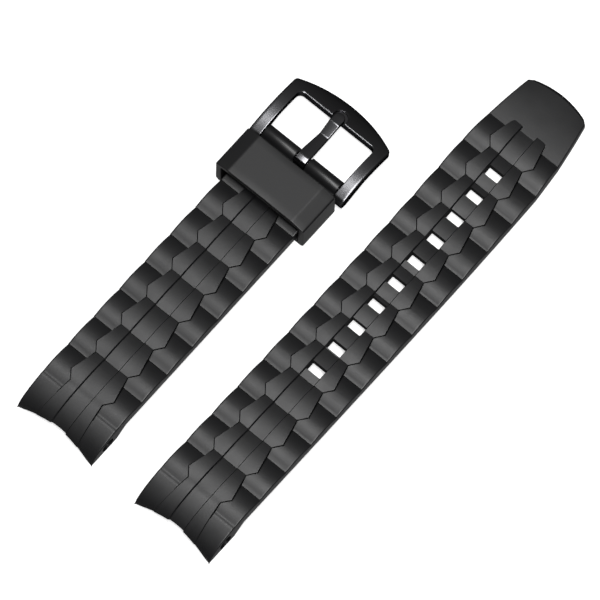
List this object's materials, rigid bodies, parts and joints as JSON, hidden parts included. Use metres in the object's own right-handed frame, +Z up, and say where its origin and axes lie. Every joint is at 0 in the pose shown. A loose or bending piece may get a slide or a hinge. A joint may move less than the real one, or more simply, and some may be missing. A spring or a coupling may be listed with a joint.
{
  "type": "rubber watch strap",
  "caption": "Two-piece moulded rubber watch strap with link-shaped relief, sliding keeper loop and black pin buckle on a spring bar.",
  "frame": {"origin": "middle of the lug bore of the buckle half", "axes": "+X along both halves from the case end towards the buckle and the tail's tip, +Y across the strap along the lug bore, away from the tail half, +Z up from the ground that the strap lies on"},
  "size_m": [0.1239, 0.0546, 0.0092],
  "materials": {
    "strap_rubber": "matt moulded black rubber",
    "keeper_rubber": "matt moulded black rubber",
    "black_steel": "satin black coated steel",
    "plain_steel": "drawn stainless steel",
    "spring_steel": "drawn spring wire"
  },
  "bodies": {
    "root": {"buckle_half_strap": "strap_rubber", "tail_half_strap": "strap_rubber", "spring_bar_tube": "plain_steel", "spring_bar_coil": "spring_steel"},
    "keeper": {"keeper_loop": "keeper_rubber"},
    "buckle": {"buckle_frame": "black_steel"},
    "tongue": {"buckle_tongue": "black_steel"},
    "pin_left": {"spring_bar_pin_left": "plain_steel"},
    "pin_right": {"spring_bar_pin_right": "plain_steel"}
  },
  "joints": [
    {"name": "keeper_slide", "type": "slide", "parent": "root", "child": "keeper", "axis": [0.9998, 0, -0.018], "range_m": [-0.0528, 0.0003]},
    {"name": "buckle_swing", "type": "hinge", "parent": "root", "child": "buckle", "pos_m": [0.07272, 0, 0.00059], "axis": [0, -1, 0], "range_deg": [-80, 25]},
    {"name": "tongue_lift", "type": "hinge", "parent": "buckle", "child": "tongue", "pos_m": [0.07272, 0, 0.00059], "axis": [0, -1, 0], "range_deg": [0, 80]},
    {"name": "pin_left_press", "type": "slide", "parent": "root", "child": "pin_left", "axis": [0, -1, 0], "range_m": [0, 0.0012], "stiffness_N_per_m": 1000, "springref_m": -0.001, "deforming": ["spring_bar_coil"]},
    {"name": "pin_right_press", "type": "slide", "parent": "root", "child": "pin_right", "axis": [0, 1, 0], "range_m": [0, 0.0012], "stiffness_N_per_m": 1000, "springref_m": -0.001, "deforming": ["spring_bar_coil"]}
  ]
}
